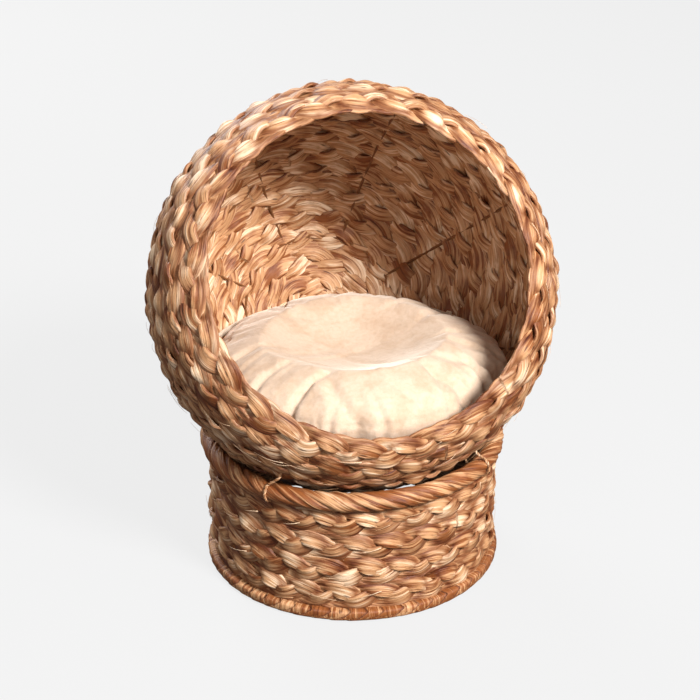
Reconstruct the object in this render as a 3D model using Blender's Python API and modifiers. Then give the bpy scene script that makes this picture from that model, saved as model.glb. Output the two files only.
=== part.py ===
"""Raised wicker pet bed: a tilted round pod of plaited leaf on a drum base, with a loose cushion.

Metres, +Z up, origin at the bottom centre of the bounding box. The mouth looks towards -Y and up.
The pod is a bowl turned about the mouth's own axis. Its rows of plait run round that axis from the
mouth's lip to a small disc at the back, on a welded wire frame. It sits in the rope border of the
drum, and three ties bind it there. The cushion lies loose in the pod.
"""
from math import acos, atan2, cos, hypot, pi, radians, sin, sqrt

import bmesh
import bpy
from mathutils import Matrix, Vector

# ------------------------------------------------------------------ driving sizes (metres, degrees)
GAP = 0.0003                 # clearance between pieces that touch
SEGMENTS = 32                # flats round every turned piece
SEAT_SAMPLES = 72            # places along half the rope border where the pod's seat is measured
SHARP_ANGLE = 35.0           # edges sharper than this stay crisp

ROW_THICKNESS = 0.009        # plait, without the wires behind it
ROW_EDGE = 0.003             # how far a row's edge tapers to its thin side
WIRE_RADIUS = 0.0015         # ribs and hoops
RIB_COUNT = 8

BASE_RADIUS = 0.1525         # middle of the drum's plait
BASE_ROWS = 4
BASE_ROW_PITCH = 0.029
FOOT_HEIGHT = 0.0127
FOOT_OUT = 0.0065              # foot's outer face beyond the middle of the drum's plait
FOOT_EDGE = 0.002            # worn outer edges
FOOT_LIP = 0.0025            # wrapped leaf inside the frame's lower ring
FOOT_SOLE = 0.0035           # wrapped leaf under the frame's lower ring
ROPE_RADIUS = 0.0095
ROPE_OUT = 0.0005              # rope's middle beyond the middle of the drum's plait

TILT = 31.0                  # mouth's axis above the horizontal
BOWL_RADIUS = 0.216          # middle of the plait, over the round back
LIP_AHEAD = 0.083            # lip in front of the bowl's centre, along the axis
MOUTH_INSET = 0.0495         # edge of the first row inside the bowl's radius
POD_PITCH = 0.0276
POD_FORWARD = 0.010          # bowl's centre in front of the drum's axis
FRONT_SLOPES = (38.0, 58.0, 78.0, 88.0, 92.0)   # first rows, measured from the mouth's plane
BACK_DISC_MAX = 0.062        # rows stop when the hole that is left is smaller than this
HOOP_EVERY = 3               # one hoop behind every third row

TIE_AZIMUTHS = {"lashing_front_right": 46.0, "lashing_front_left": -46.0, "lashing_back": 180.0}
TIE_RADIUS = 0.00125
TIE_SLOT = 0.006
TIE_SLOT_DEPTH = 3 * ROW_THICKNESS
TIE_SLACK = 0.0004           # room between a tie and the rope
TIE_BEHIND = 0.0025          # room between a tie and the wires it passes
TIE_WRAP = 105.0             # how far round the rope a tie goes, each way
TIE_BENDS = 7
TIE_FROM_DISC = 0.0022         # least place of a tie in front of the back disc's edge
TIE_AZIMUTH_STEP = 1.0         # degrees by which a tie moves aside from the disc or a rib

CUSHION_ROOM = 0.0105        # between the sewn edge and the lip that it just passes
CUSHION_SEAT = 0.0118        # between its lowest point and the pod's wires
CUSHION_ROLL = 0.044         # width of the puffed rim's upper side
CUSHION_CROWN = 0.034        # puffed rim above the sewn edge
CUSHION_DISH = 0.017         # middle of the top under the rim's crown
CUSHION_UNDERCUT = 0.056     # width of the side that draws in under the sewn edge
CUSHION_BELLY = 0.070        # height of that side
CUSHION_DEPTH = 0.106        # lowest point below the sewn edge
CUSHION_HOLLOW = 1.4         # how flat that side is, where 1 is an ellipse and 2 a cone
FLAT_SHARES = (0.0, 0.4, 0.75)      # places on the cushion's middle
ROLL_TURNS = (0, 30, 60)            # degrees round its rim
COVER = 0.0015               # plush cloth
ZIP_ARC = 120.0
ZIP_STEPS = 12
ZIP_HEIGHT = 0.008
ZIP_THICKNESS = 0.0012
SLIDER = (0.007, 0.003, 0.010)
SLIDER_EDGE = 0.0008         # rounding
SLIDER_START = 4.0           # parked this far from the zip's end

# ------------------------------------------------------------------ sizes worked out from those
HALF = ROW_THICKNESS / 2
WIRE_OFFSET = HALF + GAP + WIRE_RADIUS          # wire's middle behind the plait's middle
FOOT_OUTER_RADIUS = BASE_RADIUS + FOOT_OUT
ROPE_RING_RADIUS = BASE_RADIUS + ROPE_OUT
LIP_RADIUS = BOWL_RADIUS - MOUTH_INSET
TIE_OFFSET = WIRE_OFFSET + WIRE_RADIUS + TIE_BEHIND + TIE_RADIUS
ROPE_Z = FOOT_HEIGHT + BASE_ROWS * BASE_ROW_PITCH + 2 * GAP + ROPE_RADIUS
AXIS = Vector((0.0, -cos(radians(TILT)), sin(radians(TILT))))


def pod_path():
    """Row boundaries as (along the axis, from the axis), from the lip to the back disc."""
    path = [(LIP_AHEAD, LIP_RADIUS)]
    for slope in FRONT_SLOPES:
        along, out = path[-1]
        turn = radians(slope)
        path.append((along - POD_PITCH * sin(turn), out + POD_PITCH * cos(turn)))
    while path[-1][1] > BACK_DISC_MAX:
        along, out = path[-1]
        reach = hypot(along, out)
        beside = (reach ** 2 + BOWL_RADIUS ** 2 - POD_PITCH ** 2) / (2 * reach * BOWL_RADIUS)
        angle = atan2(out, -along) - acos(min(1.0, beside))
        path.append((-BOWL_RADIUS * cos(angle), BOWL_RADIUS * sin(angle)))
    return path


def room_over_rope(height):
    """Least gap between the pod's plait and the rope border, with the bowl's centre at height; below 0 they cross."""
    least = BOWL_RADIUS
    for step in range(SEAT_SAMPLES + 1):
        turn = pi * step / SEAT_SAMPLES
        rope = Vector((ROPE_RING_RADIUS * sin(turn), POD_FORWARD - ROPE_RING_RADIUS * cos(turn), ROPE_Z - height))
        along = rope.dot(AXIS)
        spot = Vector((along, (rope - AXIS * along).length))
        gaps = []
        for start, end in zip(PATH, PATH[1:]):
            edge = Vector(end) - Vector(start)
            share = min(1.0, max(0.0, (spot - Vector(start)).dot(edge) / edge.length_squared))
            gaps.append(spot - Vector(start) - edge * share)
        nearest = min(gaps, key=lambda gap: gap.length)
        least = min(least, nearest.length if nearest.dot(spot) > 0 else -nearest.length)
    return least - HALF - ROPE_RADIUS


def seated_height():
    """Height of the bowl's centre where the pod comes down on the rope border."""
    low, high = ROPE_Z, ROPE_Z + 2 * BOWL_RADIUS
    while high - low > GAP / 100:
        middle = (low + high) / 2
        low, high = (low, middle) if room_over_rope(middle) > GAP else (middle, high)
    return high


PATH = pod_path()
POD_Z = seated_height()
REACH_BACK, REACH_FRONT = (
    HALF + max(out * sin(radians(TILT)) + side * (along * cos(radians(TILT)) + POD_FORWARD) for along, out in PATH)
    for side in (-1, 1))
AXIS_Y = (REACH_FRONT - REACH_BACK) / 2         # drum's axis, so the bounding box is centred
POD_CENTRE = Vector((0.0, AXIS_Y - POD_FORWARD, POD_Z))
CUSHION_AXIS = Vector((0.0, AXIS_Y, 0.0))
LIP_REACH = POD_FORWARD + LIP_AHEAD * cos(radians(TILT)) + LIP_RADIUS * sin(radians(TILT))
CUSHION_RADIUS = min(LIP_RADIUS, LIP_REACH) - CUSHION_ROOM      # sewn edge
CUSHION_WAIST = POD_Z - (BOWL_RADIUS - WIRE_OFFSET - WIRE_RADIUS - CUSHION_DEPTH - CUSHION_SEAT)   # its height

# ------------------------------------------------------------------ scene and materials
for old in list(bpy.data.objects):
    bpy.data.objects.remove(old, do_unlink=True)

PARTS = bpy.data.collections.new("wicker_pet_bed")
TOOLS = bpy.data.collections.new("cutters")
for group in (PARTS, TOOLS):
    bpy.context.scene.collection.children.link(group)

LOOKS = {"leaf": ((0.50, 0.27, 0.13), 0.6, 0.0), "leaf_dark": ((0.33, 0.16, 0.07), 0.65, 0.0),
         "wire": ((0.10, 0.09, 0.08), 0.5, 0.9), "plush": ((0.86, 0.76, 0.64), 0.95, 0.0),
         "filling": ((0.9, 0.9, 0.9), 1.0, 0.0), "zip": ((0.80, 0.72, 0.60), 0.5, 0.0)}


def material(name, look):
    """One Principled material, named for its part."""
    colour, roughness, metallic = LOOKS[look]
    made = bpy.data.materials.new(name + "_" + look)
    made.use_nodes = True
    shader = made.node_tree.nodes["Principled BSDF"]
    shader.inputs["Base Color"].default_value = (*colour, 1.0)
    shader.inputs["Roughness"].default_value = roughness
    shader.inputs["Metallic"].default_value = metallic
    return made


def keep(piece, name, look, parent=None):
    """Name a finished piece, give it its material and put it with the parts."""
    piece.name = name
    piece.data.name = name
    piece.data.materials.clear()
    piece.data.materials.append(material(name, look))
    for group in list(piece.users_collection):
        group.objects.unlink(piece)
    PARTS.objects.link(piece)
    if parent:
        piece.parent = parent
    return piece


def as_cutter(piece):
    """Put a cutter with the tools, drawn as wire and never rendered."""
    piece.hide_render = True
    piece.display_type = "WIRE"
    for group in list(piece.users_collection):
        group.objects.unlink(piece)
    TOOLS.objects.link(piece)
    return piece


def frame_empty(name, place, turn=(0.0, 0.0, 0.0)):
    """An empty that carries the pieces of one assembly."""
    empty = bpy.data.objects.new(name, None)
    empty.location = place
    empty.rotation_euler = turn
    PARTS.objects.link(empty)
    return empty


# ------------------------------------------------------------------ shapes
def turned(name, profile, look, parent, closed=True):
    """A profile of (from the axis, height) points, down its outer side, turned about local Z."""
    mesh = bpy.data.meshes.new(name)
    count = len(profile)
    edges = [(k, k + 1) for k in range(count - 1)]
    if closed:
        edges.append((count - 1, 0))
    mesh.from_pydata([(out, 0.0, height) for out, height in profile], edges, [])
    piece = bpy.data.objects.new(name, mesh)
    screw = piece.modifiers.new("turn", "SCREW")
    screw.axis = "Z"
    screw.steps = SEGMENTS
    screw.render_steps = SEGMENTS
    screw.use_merge_vertices = True
    screw.merge_threshold = 0.00001
    screw.use_smooth_shade = True
    return keep(piece, name, look, parent)


def arc_bar(name, section, degrees, steps, look, parent):
    """A flat section of (from the axis, height) corners swept part of a turn about local Z."""
    work = bmesh.new()
    corners = [work.verts.new((out, 0.0, height)) for out, height in section]
    face = work.faces.new(corners)
    bmesh.ops.spin(work, geom=corners + list(face.edges) + [face], axis=(0.0, 0.0, 1.0), cent=(0.0, 0.0, 0.0),
                   angle=radians(degrees), steps=steps)
    bmesh.ops.recalc_face_normals(work, faces=work.faces)
    mesh = bpy.data.meshes.new(name)
    work.to_mesh(mesh)
    work.free()
    return keep(bpy.data.objects.new(name, mesh), name, look, parent)


def row_section(start, end):
    """Six-sided section of a row between two (along, out) boundaries, its thin edges on them."""
    run = hypot(end[0] - start[0], end[1] - start[1])
    ahead = ((end[0] - start[0]) / run, (end[1] - start[1]) / run)
    outward = (ahead[1], -ahead[0])

    def at(distance, depth):
        along = start[0] + ahead[0] * distance + outward[0] * depth
        return (start[1] + ahead[1] * distance + outward[1] * depth, along)

    edge = GAP / 2
    return [at(edge, 0.0), at(ROW_EDGE, HALF), at(run - ROW_EDGE, HALF),
            at(run - edge, 0.0), at(run - ROW_EDGE, -HALF), at(ROW_EDGE, -HALF)]


def inner_offset(path, depth):
    """The path moved inwards by depth, so that it stays parallel to every row."""
    moved = []
    for k, (along, out) in enumerate(path):
        sides = []
        if k > 0:
            sides.append((path[k - 1], path[k]))
        if k < len(path) - 1:
            sides.append((path[k], path[k + 1]))
        normals = []
        for (a0, o0), (a1, o1) in sides:
            run = hypot(a1 - a0, o1 - o0)
            normals.append(((a0 - a1) / run, (o1 - o0) / run))
        outward = (sum(n[1] for n in normals), sum(n[0] for n in normals))
        length = hypot(*outward)
        outward = (outward[0] / length, outward[1] / length)
        mitre = outward[0] * normals[0][1] + outward[1] * normals[0][0]
        moved.append((along - depth * outward[0] / mitre, out - depth * outward[1] / mitre))
    return moved


def wire(points, radius, cyclic=False, resolution=0):
    """A round wire through points, as a curve."""
    curve = bpy.data.curves.new("wire", "CURVE")
    curve.dimensions = "3D"
    spline = curve.splines.new("POLY")
    spline.points.add(len(points) - 1)
    for spot, point in zip(spline.points, points):
        spot.co = (*point, 1.0)
    spline.use_cyclic_u = cyclic
    curve.bevel_depth = radius
    curve.bevel_resolution = resolution
    curve.use_fill_caps = not cyclic
    curve.render_resolution_u = 0
    piece = bpy.data.objects.new("wire", curve)
    bpy.context.scene.collection.objects.link(piece)
    return piece


def as_mesh(piece, name):
    """Turn a curve into a mesh object whose caps are welded on."""
    bpy.context.view_layer.update()
    evaluated = piece.evaluated_get(bpy.context.evaluated_depsgraph_get())
    mesh = bpy.data.meshes.new_from_object(evaluated)
    work = bmesh.new()
    work.from_mesh(mesh)
    bmesh.ops.remove_doubles(work, verts=work.verts, dist=0.00001)
    bmesh.ops.recalc_face_normals(work, faces=work.faces)
    work.to_mesh(mesh)
    work.free()
    made = bpy.data.objects.new(name, mesh)
    made.matrix_world = piece.matrix_world
    bpy.data.objects.remove(piece, do_unlink=True)
    bpy.context.scene.collection.objects.link(made)
    return made


def ring(radius, height, wire_radius, sides=4):
    """A round ring of wire about Z."""
    bpy.ops.mesh.primitive_torus_add(major_radius=radius, minor_radius=wire_radius,
                                     major_segments=SEGMENTS, minor_segments=sides,
                                     location=(0.0, 0.0, height))
    return bpy.context.object


def welded(name, pieces, parent):
    """Join crossing wires into one solid."""
    body, others = pieces[0], pieces[1:]
    for k, other in enumerate(others):
        as_cutter(other)
        other.parent = parent
        join = body.modifiers.new("weld_%d" % k, "BOOLEAN")
        join.operation = "UNION"
        join.solver = "EXACT"
        join.object = other
    return keep(body, name, "wire", parent)


def drilled(piece, cutter, label):
    """Cut a slot through a piece."""
    cut = piece.modifiers.new(label, "BOOLEAN")
    cut.operation = "DIFFERENCE"
    cut.solver = "EXACT"
    cut.object = cutter


# ------------------------------------------------------------------ drum base
def build_base(parent):
    """Foot rim, plait rows, rope border and the wire frame behind them."""
    wire_out = BASE_RADIUS - WIRE_OFFSET
    lower_z = FOOT_SOLE + GAP + WIRE_RADIUS
    groove_out = wire_out + WIRE_RADIUS + GAP
    groove_in = wire_out - WIRE_RADIUS - GAP
    foot_in = groove_in - FOOT_LIP
    turned("base_foot_rim", [
        (groove_out, FOOT_HEIGHT), (FOOT_OUTER_RADIUS - FOOT_EDGE, FOOT_HEIGHT),
        (FOOT_OUTER_RADIUS, FOOT_HEIGHT - FOOT_EDGE), (FOOT_OUTER_RADIUS, FOOT_EDGE),
        (FOOT_OUTER_RADIUS - FOOT_EDGE, 0.0), (foot_in, 0.0), (foot_in, FOOT_HEIGHT),
        (groove_in, FOOT_HEIGHT), (groove_in, FOOT_SOLE), (groove_out, FOOT_SOLE)],
        "leaf_dark", parent)
    first = FOOT_HEIGHT + GAP
    for k in range(BASE_ROWS):
        top = first + (k + 1) * BASE_ROW_PITCH
        section = row_section((top, BASE_RADIUS), (top - BASE_ROW_PITCH, BASE_RADIUS))
        row = turned("base_plait_row_%d" % (k + 1), section, "leaf", parent)
    rope = ring(ROPE_RING_RADIUS, ROPE_Z, ROPE_RADIUS, sides=8)
    keep(rope, "base_rope_border", "leaf", parent)
    upper_z = first + BASE_ROWS * BASE_ROW_PITCH - WIRE_RADIUS - ROW_EDGE
    wires = [ring(wire_out, lower_z, WIRE_RADIUS), ring(wire_out, upper_z, WIRE_RADIUS)]
    for k in range(RIB_COUNT):
        turn = 2 * pi * (k + 0.5) / RIB_COUNT
        foot = Vector((wire_out * cos(turn), wire_out * sin(turn), lower_z))
        wires.append(as_mesh(wire([foot, foot + Vector((0, 0, upper_z - lower_z))], WIRE_RADIUS), "upright"))
    welded("base_wire_frame", wires, parent)
    return row


# ------------------------------------------------------------------ pod
def build_pod(parent):
    """Rows of plait from the lip to the back, the back disc and the wire frame behind them."""
    rows = []
    for k in range(len(PATH) - 1):
        name = "pod_rim_plait" if k == 0 else "pod_plait_row_%02d" % (k + 1)
        rows.append(turned(name, row_section(PATH[k], PATH[k + 1]), "leaf", parent))
    along, out = PATH[-1]
    edge = out - GAP
    dome = BOWL_RADIUS - sqrt(BOWL_RADIUS ** 2 - out ** 2)
    rows.append(turned("pod_back_disc", [
        (0.0, along + HALF - dome), (edge - ROW_EDGE, along + HALF), (edge, along),
        (edge - ROW_EDGE, along - HALF), (0.0, along - HALF - dome)], "leaf", parent, closed=False))
    inside = inner_offset(PATH, WIRE_OFFSET)
    wires = []
    for k in range(0, len(PATH) - 1, HOOP_EVERY):
        middle = [(inside[k][j] + inside[k + 1][j]) / 2 for j in (0, 1)]
        wires.append(ring(middle[1], middle[0], WIRE_RADIUS))
    start = [(inside[0][j] + inside[1][j]) / 2 for j in (0, 1)]
    last = (len(PATH) - 2) // HOOP_EVERY * HOOP_EVERY
    end = [(inside[last][j] + inside[last + 1][j]) / 2 for j in (0, 1)]
    run = [start] + inside[1:last + 1] + [end]
    for k in range(RIB_COUNT):
        turn = 2 * pi * (k + 0.5) / RIB_COUNT
        points = [(o * cos(turn), o * sin(turn), a) for a, o in run]
        wires.append(as_mesh(wire(points, WIRE_RADIUS), "rib"))
    welded("pod_wire_frame", wires, parent)
    return rows


# ------------------------------------------------------------------ ties between pod and base
def slot_cutter(name, place, facing, size):
    """A box with its Z along facing, as a cutter."""
    bpy.ops.mesh.primitive_cube_add(size=1.0)
    slot = bpy.context.object
    slot.name = name
    turn = facing.to_track_quat("Z", "Y").to_matrix().to_4x4()
    slot.matrix_world = Matrix.Translation(place) @ turn @ Matrix.Diagonal((*size, 1.0))
    return as_cutter(slot)


def rope_under_pod(azimuth):
    """The rope's middle, its direction from the bowl's centre, and where that is along and round the pod's axis."""
    side = Vector((1.0, 0.0, 0.0))
    rope = Vector((0.0, AXIS_Y, ROPE_Z)) + Vector((sin(radians(azimuth)), -cos(radians(azimuth)), 0.0)) * ROPE_RING_RADIUS
    away = (rope - POD_CENTRE).normalized()
    return rope, away, BOWL_RADIUS * away.dot(AXIS), atan2(away.dot(AXIS.cross(side)), away.dot(side))


def blocked(height, spin):
    """Whether a tie there would come out on the back disc, which has no slots, or cross a rib."""
    rib_gap = abs(spin * RIB_COUNT / (2 * pi) % 1 - 0.5) * 2 * pi / RIB_COUNT * sqrt(BOWL_RADIUS ** 2 - height ** 2)
    return height < PATH[-1][0] + TIE_FROM_DISC or rib_gap < TIE_SLOT


def build_ties(rows, top_base_row):
    """Each tie goes round the rope border and, through two slots, behind one row of the pod."""
    side = Vector((1.0, 0.0, 0.0))
    up = AXIS.cross(side)
    bend = ROPE_RADIUS + TIE_RADIUS + GAP + TIE_SLACK
    for name, azimuth in TIE_AZIMUTHS.items():
        rope, away, height, spin = rope_under_pod(azimuth)
        while blocked(height, spin):
            azimuth -= TIE_AZIMUTH_STEP
            rope, away, height, spin = rope_under_pod(azimuth)
        turn = radians(azimuth)
        outward = Vector((sin(turn), -cos(turn), 0.0))
        first = max(j for j in range(1, len(PATH)) if PATH[j][0] - height > bend)
        last = min(j for j in range(1, len(PATH)) if height - PATH[j][0] > bend or j == len(PATH) - 1)
        bounds = []
        for bound in range(first, last + 1):
            along, out = PATH[bound]
            spot = POD_CENTRE + AXIS * along + (side * cos(spin) + up * sin(spin)) * out
            bounds.append((spot, (spot - POD_CENTRE).normalized()))
        above = HALF + TIE_RADIUS + GAP
        loop = [bounds[0][0] + bounds[0][1] * above]
        loop += [spot - normal * TIE_OFFSET for spot, normal in bounds]
        loop.append(bounds[-1][0] + bounds[-1][1] * above)
        for bound, (spot, normal) in ((first, bounds[0]), (last, bounds[-1])):
            slot = slot_cutter(name + "_slot", spot, normal, (TIE_SLOT, TIE_SLOT, TIE_SLOT_DEPTH))
            drilled(rows[bound - 1], slot, slot.name)
            drilled(rows[bound], slot, slot.name)
        across = away.cross(Vector((cos(turn), sin(turn), 0.0))).normalized()
        if (loop[0] - loop[-1]).dot(across) < 0:
            across = -across
        for step in range(TIE_BENDS):
            angle = radians(TIE_WRAP * (2 * step / (TIE_BENDS - 1) - 1))
            loop.append(rope + (away * cos(angle) + across * sin(angle)) * bend)
        under = slot_cutter(name + "_notch", rope - Vector((0.0, 0.0, bend)), outward,
                            (TIE_SLOT, TIE_SLOT, TIE_SLOT_DEPTH))
        drilled(top_base_row, under, under.name)
        keep(as_mesh(wire(loop, TIE_RADIUS, cyclic=True, resolution=1), name), name, "leaf")


# ------------------------------------------------------------------ cushion
def cushion_profile(shrink, top):
    """Half outline from the middle to the sewn edge, shrunk inwards: (from the axis, height)."""
    if top:
        roll, power = CUSHION_ROLL, 1.0
        rise, middle = CUSHION_CROWN - shrink, CUSHION_CROWN - CUSHION_DISH - shrink
    else:
        roll, power = CUSHION_UNDERCUT, CUSHION_HOLLOW
        rise, middle = shrink - CUSHION_BELLY, shrink - CUSHION_DEPTH
    foot = CUSHION_RADIUS - roll
    points = [(foot * share, CUSHION_WAIST + middle + (rise - middle) * share ** 2)
              for share in FLAT_SHARES]
    points += [(foot + (roll - shrink) * sin(radians(turn)) ** power,
                CUSHION_WAIST + rise * cos(radians(turn)) ** power) for turn in ROLL_TURNS]
    points.append((CUSHION_RADIUS - shrink, CUSHION_WAIST))
    return points


def panel(name, top, parent):
    """One cloth panel of the cover, from the middle to the sewn edge."""
    outside = cushion_profile(0.0, top)
    inside = cushion_profile(COVER, top)
    level = GAP / 2 if top else -GAP / 2
    outside[-1] = (outside[-1][0], CUSHION_WAIST + level)
    inside[-1] = (inside[-1][0], CUSHION_WAIST + level)
    profile = outside + inside[::-1] if top else inside + outside[::-1]
    turned(name, profile, "plush", parent, closed=False)


def build_cushion(parent):
    """Cover of two panels, filling, zip tape and its slider."""
    panel("cushion_top_panel", True, parent)
    panel("cushion_bottom_panel", False, parent)
    slack = COVER + GAP
    upper = cushion_profile(slack, True)
    lower = cushion_profile(slack, False)
    turned("cushion_filling", upper + lower[-2::-1], "filling", parent, closed=False)
    inner = (CUSHION_RADIUS + GAP) / cos(radians(ZIP_ARC / ZIP_STEPS / 2))
    half = ZIP_HEIGHT / 2
    tape = arc_bar("cushion_zip_tape", [
        (inner, CUSHION_WAIST + half), (inner + ZIP_THICKNESS, CUSHION_WAIST + half),
        (inner + ZIP_THICKNESS, CUSHION_WAIST - half), (inner, CUSHION_WAIST - half)],
        ZIP_ARC, ZIP_STEPS, "zip", parent)
    tape.rotation_euler = (0.0, 0.0, radians(90 - ZIP_ARC / 2))
    pivot = frame_empty("zip_slider_pivot", CUSHION_AXIS, (0.0, 0.0, radians(90 - ZIP_ARC / 2 + SLIDER_START)))
    bpy.ops.mesh.primitive_cube_add(size=1.0)
    slider = bpy.context.object
    slider.data.transform(Matrix.Diagonal((SLIDER[1], SLIDER[0], SLIDER[2], 1.0)))
    slider.data.transform(Matrix.Translation((inner + ZIP_THICKNESS + GAP + SLIDER[1] / 2, 0.0, CUSHION_WAIST)))
    rounding = slider.modifiers.new("rounding", "BEVEL")
    rounding.width = SLIDER_EDGE
    rounding.segments = 2
    keep(slider, "zip_slider", "zip", pivot)


# ------------------------------------------------------------------ assembly
base = frame_empty("base", (0.0, AXIS_Y, 0.0))
pod = frame_empty("pod", POD_CENTRE, (radians(90 - TILT), 0.0, 0.0))
cushion = frame_empty("cushion", CUSHION_AXIS)
top_row = build_base(base)
pod_rows = build_pod(pod)
build_cushion(cushion)
bpy.context.view_layer.update()
build_ties(pod_rows, top_row)
for made in PARTS.objects:
    if made.type == "MESH":
        made.data.shade_smooth()
        made.data.set_sharp_from_angle(angle=radians(SHARP_ANGLE))
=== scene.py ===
"""Wicker pet bed: a tilted round pod of plaited leaf on a drum, with a loose plush cushion."""

from math import ceil, cos, hypot, pi, radians, sin

import bpy
import numpy as np
from bpy.props import FloatProperty, FloatVectorProperty, IntProperty, PointerProperty, StringProperty
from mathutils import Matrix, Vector


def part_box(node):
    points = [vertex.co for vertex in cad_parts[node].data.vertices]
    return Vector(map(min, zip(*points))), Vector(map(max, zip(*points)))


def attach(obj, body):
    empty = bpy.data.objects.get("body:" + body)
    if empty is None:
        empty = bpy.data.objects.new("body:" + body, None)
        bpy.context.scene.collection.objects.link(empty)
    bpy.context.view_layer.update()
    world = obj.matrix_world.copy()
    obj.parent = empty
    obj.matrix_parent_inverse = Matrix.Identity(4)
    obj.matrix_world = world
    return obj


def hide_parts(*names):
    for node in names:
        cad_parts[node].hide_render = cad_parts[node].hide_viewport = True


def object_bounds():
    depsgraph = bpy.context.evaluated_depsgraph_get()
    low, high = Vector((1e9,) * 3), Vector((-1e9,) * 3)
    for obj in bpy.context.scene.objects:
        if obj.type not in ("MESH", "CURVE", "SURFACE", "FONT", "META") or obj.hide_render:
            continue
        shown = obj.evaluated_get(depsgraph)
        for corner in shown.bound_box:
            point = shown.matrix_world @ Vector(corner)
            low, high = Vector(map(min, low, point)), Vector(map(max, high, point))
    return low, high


bl_info = {
    "name": "Wicker pet bed",
    "version": (1, 0, 0),
    "blender": (4, 5, 0),
    "location": "3D View > Sidebar > Pet bed",
    "description": "Plaited leaf, rope, foot wrapping, ties and cushion of a wicker pet bed",
    "category": "Object",
}

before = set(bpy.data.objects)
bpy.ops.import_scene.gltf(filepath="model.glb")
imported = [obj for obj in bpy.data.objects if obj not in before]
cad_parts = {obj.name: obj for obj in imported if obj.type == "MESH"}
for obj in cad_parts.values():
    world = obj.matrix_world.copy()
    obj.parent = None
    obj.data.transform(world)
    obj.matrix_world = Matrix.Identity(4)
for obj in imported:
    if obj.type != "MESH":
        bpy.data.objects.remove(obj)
CAD_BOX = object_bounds()
MM = 0.001
# Second seeds, so that each piece draws random numbers of its own.
DRAWS = {"pod": 0, "drum": 40, "rope": 60, "foot": 70, "ties": 80, "pod_fibres": 90, "drum_fibres": 91, "disc": 99}
# Spacing of the lengthwise folds in a bundle, and the share of the depth that each spacing has.
FOLDS = ((6.4 * MM, 0.6), (3.4 * MM, 0.4))


# ------------------------------------------------------------------ settings
class PetBedLeaf(bpy.types.PropertyGroup):
    """Sizes and colours of the dried leaf."""
    strand_width: FloatProperty(name="Strand width", description="Width of one flattened leaf bundle",
                                default=0.0194, unit="LENGTH")
    strand_thickness: FloatProperty(name="Strand thickness", description="Thickness of one leaf bundle",
                                    default=0.0052, unit="LENGTH")
    lay: FloatProperty(name="Lay", description="Length in which a strand crosses the plait and returns",
                       default=0.120, unit="LENGTH")
    sway: FloatProperty(name="Sway", description="How far a strand goes to each side",
                        default=0.0084, unit="LENGTH")
    lift: FloatProperty(name="Lift", description="How far a strand rises over the one it crosses",
                        default=0.0026, unit="LENGTH")
    inset: FloatProperty(name="Inset", description="How far the plait closes round the wires behind it",
                         default=0.0026, unit="LENGTH")
    tilt: FloatProperty(name="Tilt", description="How far a strand leans over the plait's edge",
                        default=radians(15), subtype="ANGLE")
    fold: FloatProperty(name="Fold depth", description="Depth of the lengthwise folds in a bundle",
                        default=0.0009, unit="LENGTH")
    seed: IntProperty(name="Seed", description="Another number gives other leaves", default=11)
    pale: StringProperty(name="Pale leaf", description="Sun-bleached straw, as sRGB hex", default="ebcdad")
    straw: StringProperty(name="Straw leaf", description="Most of the leaf, as sRGB hex", default="c29268")
    brown: StringProperty(name="Brown leaf", description="Riper leaf, as sRGB hex", default="874e26")
    # The dark leaf colour goes only to the stem knots; the creases are darkened with painted shade, by the deep mark.
    dark: StringProperty(name="Dark leaf", description="Stem ends and creases, as sRGB hex", default="3f1c08")


class PetBedCushion(bpy.types.PropertyGroup):
    """Sizes and colours of the cushion."""
    roll: FloatProperty(name="Rim width", description="Width of the puffed rim", default=0.056, unit="LENGTH")
    dish: FloatProperty(name="Dish", description="Middle of the top under the rim's crown",
                        default=0.030, unit="LENGTH")
    spread: FloatProperty(name="Side spread", description="How far the soft rim spreads at both sides",
                          default=0.013, unit="LENGTH")
    undercut: FloatProperty(name="Undercut", description="How far the underside draws in",
                            default=0.056, unit="LENGTH")
    belly: FloatProperty(name="Belly", description="Height of the side that draws in", default=0.070, unit="LENGTH")
    voxel: FloatProperty(name="Cloth grid", description="Side of a cloth cell", default=0.005, unit="LENGTH")
    pressure: FloatProperty(name="Stuffing pressure", description="How hard the filling pushes", default=4.0)
    cap: FloatProperty(name="Puff limit", description="Most that the cloth may move", default=0.007, unit="LENGTH")
    frames: IntProperty(name="Cloth frames", description="Steps of the cloth simulation", default=20)
    gathers: IntProperty(name="Gathers", description="Folds that run in from the seam", default=46)
    seed: IntProperty(name="Seed", description="Another number gives other folds", default=5)
    plush: StringProperty(name="Plush", description="Cream pile, as sRGB hex", default="c9b29c")
    shade: StringProperty(name="Plush shade", description="Pile brushed the other way, as sRGB hex", default="bea48c")


class PetBedStage(bpy.types.PropertyGroup):
    """Floor, light and camera."""
    floor: StringProperty(name="Floor", description="Floor colour, as sRGB hex", default="ebebeb")
    key: FloatProperty(name="Key light", description="Power of the soft key lamp", default=285.0, unit="POWER")
    fill: FloatProperty(name="Fill light", description="Power of the soft fill lamp", default=14.0, unit="POWER")
    back: FloatProperty(name="Back light", description="Power of the soft lamp behind the bed", default=95.0,
                        unit="POWER")
    sky: FloatProperty(name="Room light", description="Strength of the even room light", default=0.36)
    distance: FloatProperty(name="Camera distance", description="From the bed", default=1.80, unit="LENGTH")
    azimuth: FloatProperty(name="Camera azimuth", description="Turned to the bed's left",
                           default=radians(13.4), subtype="ANGLE")
    elevation: FloatProperty(name="Camera height", description="Angle above the floor",
                             default=radians(25.3), subtype="ANGLE")
    lens: FloatProperty(name="Lens", description="Focal length in millimetres", default=90.6)
    aim: FloatVectorProperty(name="Aim", description="Point looked at, from the drum's axis at floor level",
                             default=(-0.0145, -0.050, 0.2595), subtype="TRANSLATION", unit="LENGTH")


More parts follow.
